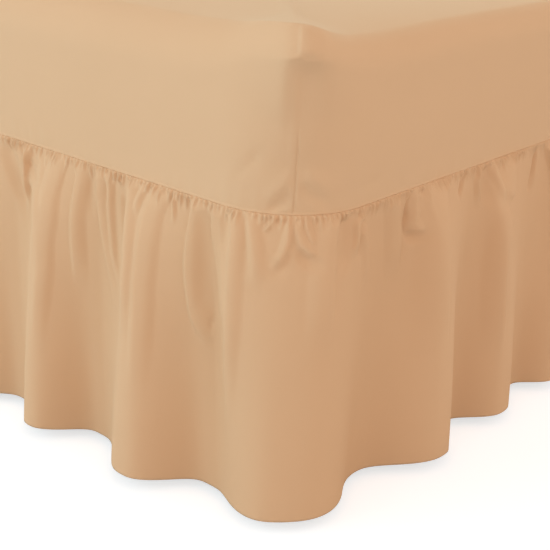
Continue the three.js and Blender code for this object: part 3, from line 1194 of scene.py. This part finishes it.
    def build(self, finishes: Finishes) -> None:
        """Make the four strips.

        Args:
            finishes: the object's materials.
        """
        self.lay_out()
        before = self.folds[-1].end - self.seam.length
        first = 0
        for name, count in self.strips:
            folds = self.folds[first : first + count]
            end = folds[-1].end
            points, cloth, faces, hollow = self.surface(before + self.gap / 2, end - self.gap / 2, folds)
            piece = mesh_object(f"cloth_{name}", points, faces, cloth, hollow)
            apply_modifier(piece, "SOLIDIFY", thickness=self.cloth * MM, offset=-1.0, use_even_offset=False)
            piece.data.materials.append(finishes.frill)
            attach(piece, BODY)
            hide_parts(name)
            before, first = end, first + count


# ---------------------------------------------------------------------------
# The panel and the mattress under it
# ---------------------------------------------------------------------------


@dataclass
class TopShape:
    """The shape of the mattress's top, walls and rounded edge, as the panel covers it."""

    seam: SeamLine
    wall_bulge: float = 3.0
    crown: float = 640.0
    crown_reach: float = 240.0
    brim_level: float = 620.0
    brim_reach: float = 45.0
    tight_radius: float = 40.0
    roll: float = math.radians(66)
    last_ring: float = 30.0
    small_step: float = 0.1
    # Place along the seam, height of the brim where wall and top meet, and radius of the edge under it.
    edge: tuple[tuple[float, float, float], ...] = (
        (-850, 620, 60), (-400, 618, 66), (-190, 617, 66), (-110, 621, 60), (-60, 628, 50), (-20, 633, 42),
        (0, 635, 40), (16, 629, 40), (40, 620, 40), (75, 614, 42), (110, 612, 43), (160, 611, 44),
        (300, 615, 44), (1700, 620, 44), (1850, 627, 42), (2000, 620, 46), (2600, 620, 46),
        (2700, 627, 42), (2800, 620, 46), (4400, 620, 46), (4550, 627, 44),
    )
    # Distance up from the seam, and how tight the corners are there.
    tightness: tuple[tuple[float, float], ...] = ((0, 0), (60, 0.05), (110, 0.3), (150, 0.7), (185, 1.0))

    def brim(self, along: np.ndarray) -> tuple[np.ndarray, np.ndarray]:
        """The height of the brim and the radius of the edge under it, at each place.

        Args:
            along: places along the seam.

        Returns:
            Heights and radii, averaged over a short stretch so that the edge has no corners.
        """
        table = np.array(self.edge)
        start = table[0, 0]
        place = np.mod(along - start, self.seam.length) + start
        around = [place + step for step in (-14, -7, 0, 7, 14)]
        height, radius = (
            np.mean([np.interp(at, table[:, 0], table[:, column]) for at in around], axis=0)
            for column in (1, 2)
        )
        return height, radius

    def corner_reach(self, along: np.ndarray) -> np.ndarray:
        """How far a tight corner stands out past the seam's round corner.

        Args:
            along: places along the seam.

        Returns:
            The reach at each place, and 0 on the straight sides.
        """
        big, small = self.seam.radius, self.tight_radius
        reach = along * 0.0
        for corner in self.seam.corners():
            turn = np.minimum(np.abs(self.seam.away(along, corner)) / big, math.pi / 4)
            shift = (big - small) * math.sqrt(2)
            beyond = np.sqrt(np.maximum(small**2 - (shift * np.sin(turn)) ** 2, 0))
            on_arc = shift * np.cos(turn) + beyond - big
            on_side = big / np.cos(math.pi / 4 - turn) - big
            limit = math.pi / 4 - math.atan((big - small) / big)
            reach = reach + np.where(turn < limit, on_arc, on_side)
        return reach

    def profile(self, along: np.ndarray, climb: np.ndarray) -> tuple[np.ndarray, np.ndarray]:
        """The outline at each place, by the distance climbed from the seam.

        Args:
            along: places along the seam.
            climb: distances up the wall, round the edge and in over the top.

        Returns:
            How far out of the seam line the point lies, and its height.
        """
        brim, radius = self.brim(along)
        wall = brim - radius * math.sin(self.roll) - self.seam.height
        turned = np.clip((climb - wall) / radius, 0, self.roll)
        inward = np.maximum(climb - wall - radius * self.roll, 0)
        on_wall = np.minimum(climb, wall)
        bulge = self.wall_bulge * np.sin(np.pi * np.clip(climb / (wall + radius * 0.6), 0, 1))
        tight = np.interp(climb, *np.array(self.tightness).T) * smooth(1 - inward / 110)
        out = bulge + tight * self.corner_reach(along) - radius * (1 - np.cos(turned)) - inward
        rise = (self.crown - self.brim_level) * (1 - np.exp(-inward / self.crown_reach))
        local = (1 - np.exp(-inward / self.brim_reach)) * (self.brim_level - brim)
        height = self.seam.height + on_wall + radius * np.sin(turned) + local + rise
        return out, height

    def moved(
        self, along: np.ndarray, climb: np.ndarray, lift: np.ndarray, outward: np.ndarray | float = 0.0
    ) -> tuple[np.ndarray, np.ndarray]:
        """The outline with each point moved square to the surface.

        Args:
            along: places along the seam.
            climb: distances up the wall, round the edge and in over the top.
            lift: how far each point moves off the surface.
            outward: how much further it moves outwards only.

        Returns:
            How far out of the seam line the point lies, and its height.
        """
        out, height = self.profile(along, climb)
        ahead_out, ahead_height = self.profile(along, climb + self.small_step)
        rise, run = ahead_height - height, out - ahead_out
        size = np.hypot(rise, run)
        return out + (lift + outward) * rise / size, height + lift * run / size

    def dents(self) -> list[Crease]:
        """The soft dent below the peak of each corner.

        Returns:
            One trough for each corner.
        """
        return [
            Crease(((at + 4, 200), (at + 5, 150), (at + 5, 84)), -8, 26, 30, Section.ROUND, 0.3, 0.7)
            for at in self.seam.centres()
        ]

    def climbs(self, along: np.ndarray, rows: list[tuple[float, float, float, float]]) -> np.ndarray:
        """The climb of each row at each place.

        Args:
            along: places along the seam.
            rows: each row's plain distance, then its shares of the wall, the edge and the way inwards.

        Returns:
            Climbs by row and place.
        """
        brim, radius = self.brim(along)
        wall = brim - radius * math.sin(self.roll) - self.seam.height
        way_in = self.seam.half_width - radius * (1 - math.cos(self.roll)) - self.last_ring
        return np.array(rows) @ np.stack([np.ones(along.shape), wall, radius * self.roll, way_in])


@dataclass
class Panel:
    """The smooth panel: top and walls in one, with a sewn seam up each corner."""

    seam: SeamLine
    shape: TopShape
    cloth: float = 1.4
    bead: float = 0.6
    bead_height: float = 3.0
    bead_fade: float = 1.8
    pucker_seed: int = 41
    visible: tuple[float, float] = (-520.0, 600.0)
    fine_step: float = 3.6
    coarse_step: float = 13.0
    first_seam_step: float = 1.1
    seam_step: float = 1.6
    seam_spread: float = 14.0

    def columns(self) -> np.ndarray:
        """Places of the columns: close near the foot's right corner and at each seam.

        Returns:
            The places, once round the bed.
        """
        length = self.seam.length
        fine = np.arange(-length / 2, length / 2, 0.5)
        seen = (fine > self.visible[0]) & (fine < self.visible[1])
        step = np.where(seen, self.fine_step, self.coarse_step)
        for corner in self.seam.corners():
            close = self.first_seam_step if corner == 0 else self.seam_step
            away = np.abs(self.seam.away(fine, corner))
            step = np.minimum(step, close + (away / self.seam_spread) ** 2)
        filled = np.concatenate([[0], np.cumsum(0.5 / step)])
        count = int(filled[-1])
        marks = np.concatenate([fine, [length / 2]])
        return np.interp(np.arange(count) * filled[-1] / count, filled, marks)

    def rows(self) -> list[tuple[float, float, float, float]]:
        """The rows, from the seam up the wall, round the edge and in over the top.

        Returns:
            For each row its plain distance, then its shares of the wall, the edge and the way inwards.
        """
        near = [0.0, 0.7, 1.4, 2.1, 2.8, 3.6, 4.6, 6.5, 10.0]
        rows = [(up, 0.0, 0.0, 0.0) for up in near]
        rows += [(near[-1] * (1 - share), share, 0.0, 0.0) for share in np.linspace(0, 1, 25)[1:]]
        rows += [(0.0, 1.0, share, 0.0) for share in np.linspace(0, 1, 19)[1:]]
        inward = np.cumsum([6, 8, 12, 18, 26, 36, 46, 60, 80, 80])
        return rows + [(0.0, 1.0, 1.0, step / inward[-1]) for step in inward]

    def creases(self) -> list[Crease]:
        """Creases in the wall, the corner seams and the puckers above the frill.

        Returns:
            The creases.
        """
        made = []
        length = self.seam.length
        for centre in self.seam.centres():
            made += self.corner_creases(centre)
        made += self.shape.dents()
        made += [
            Crease(((-34, 78), (-57, 56), (-86, 28)), -2.6, 10, 9, Section.ROUND, 0.3, 0.4),
            Crease(((-48, 66), (-70, 45), (-96, 22)), 1.4, 10, 10, Section.ROUND, 0.3, 0.4),
            Crease(((-3, 50), (-20, 32), (-38, 13)), 2.6, 9, 9, Section.ROUND, 0.2, 0.4),
            Crease(((-2, 25), (-17, 13), (-35, 1)), -3.4, 8, 8, Section.ROUND, 0.2, 0.4),
            Crease(((8, 54), (30, 40), (58, 24)), 2.4, 11, 10, Section.ROUND, 0.2, 0.4),
            Crease(((4, 36), (22, 23), (48, 6)), -3.6, 10, 9, Section.ROUND, 0.2, 0.5),
            Crease(((60, 20), (113, 26), (170, 34)), -1.4, 10, 10, Section.ROUND, 0.3, 0.4),
        ]
        spread = Spread(self.pucker_seed)
        place = -length / 2
        while place < length / 2:
            strong = 1.6 if -500 < place < -380 else 1.0
            climb = spread.between(14, 46) * strong
            path = ((place, 3), (place + spread.either_way(7), climb))
            rise, wide = spread.between(0.25, 0.7) * strong, spread.between(6, 11)
            made.append(Crease(path, rise, wide, wide, Section.ROUND, 0.1, 0.7))
            place += spread.between(13, 34)
        return made

    def corner_creases(self, centre: float) -> list[Crease]:
        """The sewn seam up one corner, its peak and the edge under the peak.

        Args:
            centre: the place of the corner's middle.

        Returns:
            The creases.
        """
        top = 224.0
        return [
            Crease(((centre, 2), (centre, top - 36)), -1.1, 1.4, 1.4, Section.ROUND, 0.01, 0.04),
            Crease(((centre - 6, 2), (centre - 6, top - 50)), 0.6, 6, 6, Section.ROUND, 0.02, 0.1),
            Crease(((centre - 2, top - 34), (centre - 1, top - 8), (centre, top + 12)),
                   2.2, 14, 6, Section.TUCK, 0.15, 0.4),
            Crease(((centre, top - 31), (centre - 12, top - 35), (centre - 26, top - 42)),
                   1.6, 5, 4, Section.ROUND, 0.1, 0.6),
        ]

    def build(self, finishes: Finishes) -> None:
        """Make the panel.

        Args:
            finishes: the object's materials.
        """
        places = self.columns()
        climb = self.shape.climbs(places, self.rows())
        along = np.broadcast_to(places, climb.shape)
        bead = self.bead * smooth((self.bead_height - climb) / self.bead_fade)
        out, height = self.shape.moved(along, climb, relief(self.creases(), along, climb), bead)
        x, y = self.seam.plan(along, out)
        points = np.stack([x, y, height], axis=-1).reshape(-1, 3) * MM
        cloth = np.stack([along, climb], axis=-1).reshape(-1, 2) * MM
        count = len(places)
        rows = len(climb)
        faces = grid_faces(rows, count, looped=True)[:, ::-1].tolist()
        faces.append(list(range((rows - 1) * count, rows * count)))
        piece = mesh_object("cloth_panel", points, faces, cloth)
        single = surface_area(piece)
        apply_modifier(piece, "SOLIDIFY", thickness=self.cloth * MM, offset=-1.0, use_even_offset=False)
        piece.data.materials.append(finishes.sheet)
        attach(piece, BODY)
        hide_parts("sheet_panel")
        LOG.info("%s: %.2f m2, %d faces", piece.name, single, len(piece.data.polygons))


@dataclass
class Mattress:
    """The plain mattress that the panel is stretched over."""

    seam: SeamLine
    shape: TopShape
    under: float = 4.2
    columns_apart: float = 14.0

    def build(self, finishes: Finishes) -> None:
        """Make the mattress.

        Args:
            finishes: the object's materials.
        """
        low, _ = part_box("mattress")
        floor = low.z / MM
        length = self.seam.length
        count = int(length / self.columns_apart)
        places = np.linspace(-length / 2, length / 2, count, endpoint=False)
        rows = [(0.0, share, 0.0, 0.0) for share in np.linspace(0, 1, 16)]
        rows += [(0.0, 1.0, share, 0.0) for share in np.linspace(0, 1, 13)[1:]]
        rows += [(0.0, 1.0, 1.0, share) for share in (0.03, 0.08, 0.16, 0.3, 0.5, 0.75, 1.0)]
        climb = self.shape.climbs(places, rows)
        along = np.broadcast_to(places, climb.shape)
        out, height = self.shape.moved(along, climb, relief(self.shape.dents(), along, climb) - self.under)
        foot_steps = ((-30.0, 0.0), (-14.0, 3.0), (-6.0, 10.0))
        rings_out = [np.full(count, step) for step, _ in foot_steps]
        rings_height = [np.full(count, floor + up) for _, up in foot_steps]
        out = np.vstack([*rings_out, out])
        height = np.vstack([*rings_height, height])
        along = np.vstack([np.tile(places, (len(foot_steps), 1)), along])
        x, y = self.seam.plan(along, out)
        points = np.stack([x, y, height], axis=-1).reshape(-1, 3) * MM
        rows = len(out)
        faces = grid_faces(rows, count, looped=True)[:, ::-1].tolist()
        faces.append(list(range(count))[::-1])
        faces.append(list(range((rows - 1) * count, rows * count)))
        piece = mesh_object("mattress_pad", points, faces, None)
        piece.data.materials.append(finishes.ticking)
        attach(piece, BODY)
        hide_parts("mattress")
        LOG.info("%s: %d faces", piece.name, len(piece.data.polygons))


# ---------------------------------------------------------------------------
# The carried-over parts, the room and the camera
# ---------------------------------------------------------------------------


@dataclass
class BedBase:
    """The base and its feet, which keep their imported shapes."""

    def dress(self, finishes: Finishes) -> None:
        """Give the base and feet their finishes.

        Args:
            finishes: the object's materials.
        """
        for name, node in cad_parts.items():
            if name == "bed_base":
                finish = finishes.base
            elif name.startswith("foot_"):
                finish = finishes.plastic
            else:
                continue
            node.data.materials.clear()
            node.data.materials.append(finish)
            LOG.info("%s: %s", name, finish.name)


@dataclass
class Studio:
    """The pale floor, the sky, the soft lamps and the camera."""

    seam: SeamLine
    azimuth: float = 38.96
    elevation: float = 21.65
    roll: float = 3.01
    lens: float = 72.91
    camera_from_corner: tuple[float, float] = (730.9, -940.0)
    camera_height: float = 825.2
    floor_size: float = 90.0
    sky_low: float = 1.88
    sky_fall: float = 1.48

    def make_camera(self) -> None:
        """Put the camera near the foot's right corner and look down at it."""
        turn, tilt = math.radians(self.azimuth), math.radians(self.elevation)
        right = Vector((math.cos(turn), math.sin(turn), 0.0))
        back = Vector((math.sin(turn) * math.cos(tilt), -math.cos(turn) * math.cos(tilt), math.sin(tilt)))
        up = back.cross(right)
        roll = math.radians(self.roll)
        rolled_right = right * math.cos(roll) + up * math.sin(roll)
        rolled_up = up * math.cos(roll) - right * math.sin(roll)
        data = bpy.data.cameras.new("Camera")
        data.lens = self.lens
        data.sensor_width = 36.0
        camera = bpy.data.objects.new("Camera", data)
        bpy.context.collection.objects.link(camera)
        pose = Matrix((rolled_right, rolled_up, back)).transposed().to_4x4()
        pose.translation = Vector((
            self.seam.half_width + self.camera_from_corner[0],
            -self.seam.half_length + self.camera_from_corner[1],
            self.camera_height,
        )) * MM
        camera.matrix_world = pose
        bpy.context.scene.camera = camera

    def make_lamp(
        self, name: str, place: tuple, aim: tuple, size: float, power: float, colour: tuple
    ) -> None:
        """Add one soft square lamp.

        Args:
            name: the lamp's name.
            place: where it stands, in metres.
            aim: what it points at, in metres.
            size: the length of its side.
            power: its power in watts.
            colour: its colour.
        """
        data = bpy.data.lights.new(name, "AREA")
        data.size = size
        data.energy = power
        data.color = colour
        lamp = bpy.data.objects.new(name, data)
        bpy.context.collection.objects.link(lamp)
        lamp.location = place
        lamp.rotation_euler = (Vector(aim) - Vector(place)).to_track_quat("-Z", "Y").to_euler()

    def make_world(self) -> None:
        """A warm sky that is dimmer overhead, and white to the camera."""
        world = bpy.data.worlds.new("Studio")
        bpy.context.scene.world = world
        world.use_nodes = True
        world.node_tree.nodes.clear()
        sheet = NodeSheet(world.node_tree)
        path = sheet.add("ShaderNodeLightPath")
        seen = sheet.math("MAXIMUM", path.outputs["Is Camera Ray"], path.outputs["Is Glossy Ray"])
        seen = sheet.math("MAXIMUM", seen, path.outputs["Is Transmission Ray"])
        soft = sheet.add("ShaderNodeBackground")
        soft.inputs["Color"].default_value = (1.0, 0.87, 0.785, 1.0)
        place = sheet.add("ShaderNodeTexCoord")
        parts = sheet.add("ShaderNodeSeparateXYZ")
        sheet.link(place.outputs["Generated"], parts.inputs[0])
        overhead = sheet.math("MULTIPLY", parts.outputs["Z"], self.sky_fall)
        sheet.link(sheet.math("SUBTRACT", self.sky_low, overhead), soft.inputs["Strength"])
        white = sheet.add("ShaderNodeBackground")
        white.inputs["Strength"].default_value = 1.0
        white.inputs["Color"].default_value = (1.0, 1.0, 1.0, 1.0)
        mix = sheet.add("ShaderNodeMixShader")
        sheet.link(seen, mix.inputs[0])
        sheet.link(soft.outputs[0], mix.inputs[1])
        sheet.link(white.outputs[0], mix.inputs[2])
        output = sheet.add("ShaderNodeOutputWorld")
        sheet.link(mix.outputs[0], output.inputs["Surface"])

    def make_floor(self) -> None:
        """A plain pale floor that keeps the object's shadow."""
        bpy.ops.object.select_all(action="DESELECT")
        bpy.ops.mesh.primitive_plane_add(size=self.floor_size, location=(0, 0, -0.0005))
        floor = bpy.context.active_object
        floor.name = "Floor"
        material, sheet, shader = new_material("Pale floor")
        shader.inputs["Base Color"].default_value = (0.56, 0.58, 0.59, 1.0)
        shader.inputs["Roughness"].default_value = 0.9
        path = sheet.add("ShaderNodeLightPath")
        shader.inputs["Emission Color"].default_value = (1.0, 1.0, 1.0, 1.0)
        glow = sheet.math("MULTIPLY", path.outputs["Is Camera Ray"], 0.65)
        sheet.link(glow, shader.inputs["Emission Strength"])
        floor.data.materials.append(material)

    def build(self) -> None:
        """Make the floor, the sky and the lamps."""
        self.make_floor()
        self.make_world()
        aim = (0.35, -0.9, 0.35)
        self.make_lamp("Key", (-3.17, -5.39, 2.2), aim, 4.5, 157.0, (0.37, 0.78, 1.0))
        self.make_lamp("Back", (-2.5, 3.5, 3.0), (0.35, -0.5, 0.63), 2.5, 160.0, (0.25, 0.8, 1.0))
        bpy.context.scene.view_settings.view_transform = "Standard"


def seam_from_frame() -> SeamLine:
    """The seam line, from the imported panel's box less the bulge of its walls.

    Returns:
        The line.
    """
    low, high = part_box("sheet_panel")
    return SeamLine(
        half_width=high.x / MM - TopShape.wall_bulge,
        half_length=high.y / MM - TopShape.wall_bulge,
        radius=CORNER_RADIUS,
        height=low.z / MM,
    )


def main() -> None:
    """Build the sheet, the bed and the room in order."""
    logging.basicConfig(level=logging.INFO, format="%(name)s: %(message)s")
    seam = seam_from_frame()
    studio = Studio(seam)
    studio.make_camera()
    finishes = make_finishes()
    shape = TopShape(seam)
    Mattress(seam, shape).build(finishes)
    Panel(seam, shape).build(finishes)
    Frill(seam).build(finishes)
    BedBase().dress(finishes)
    studio.build()


if __name__ == "__main__":
    main()
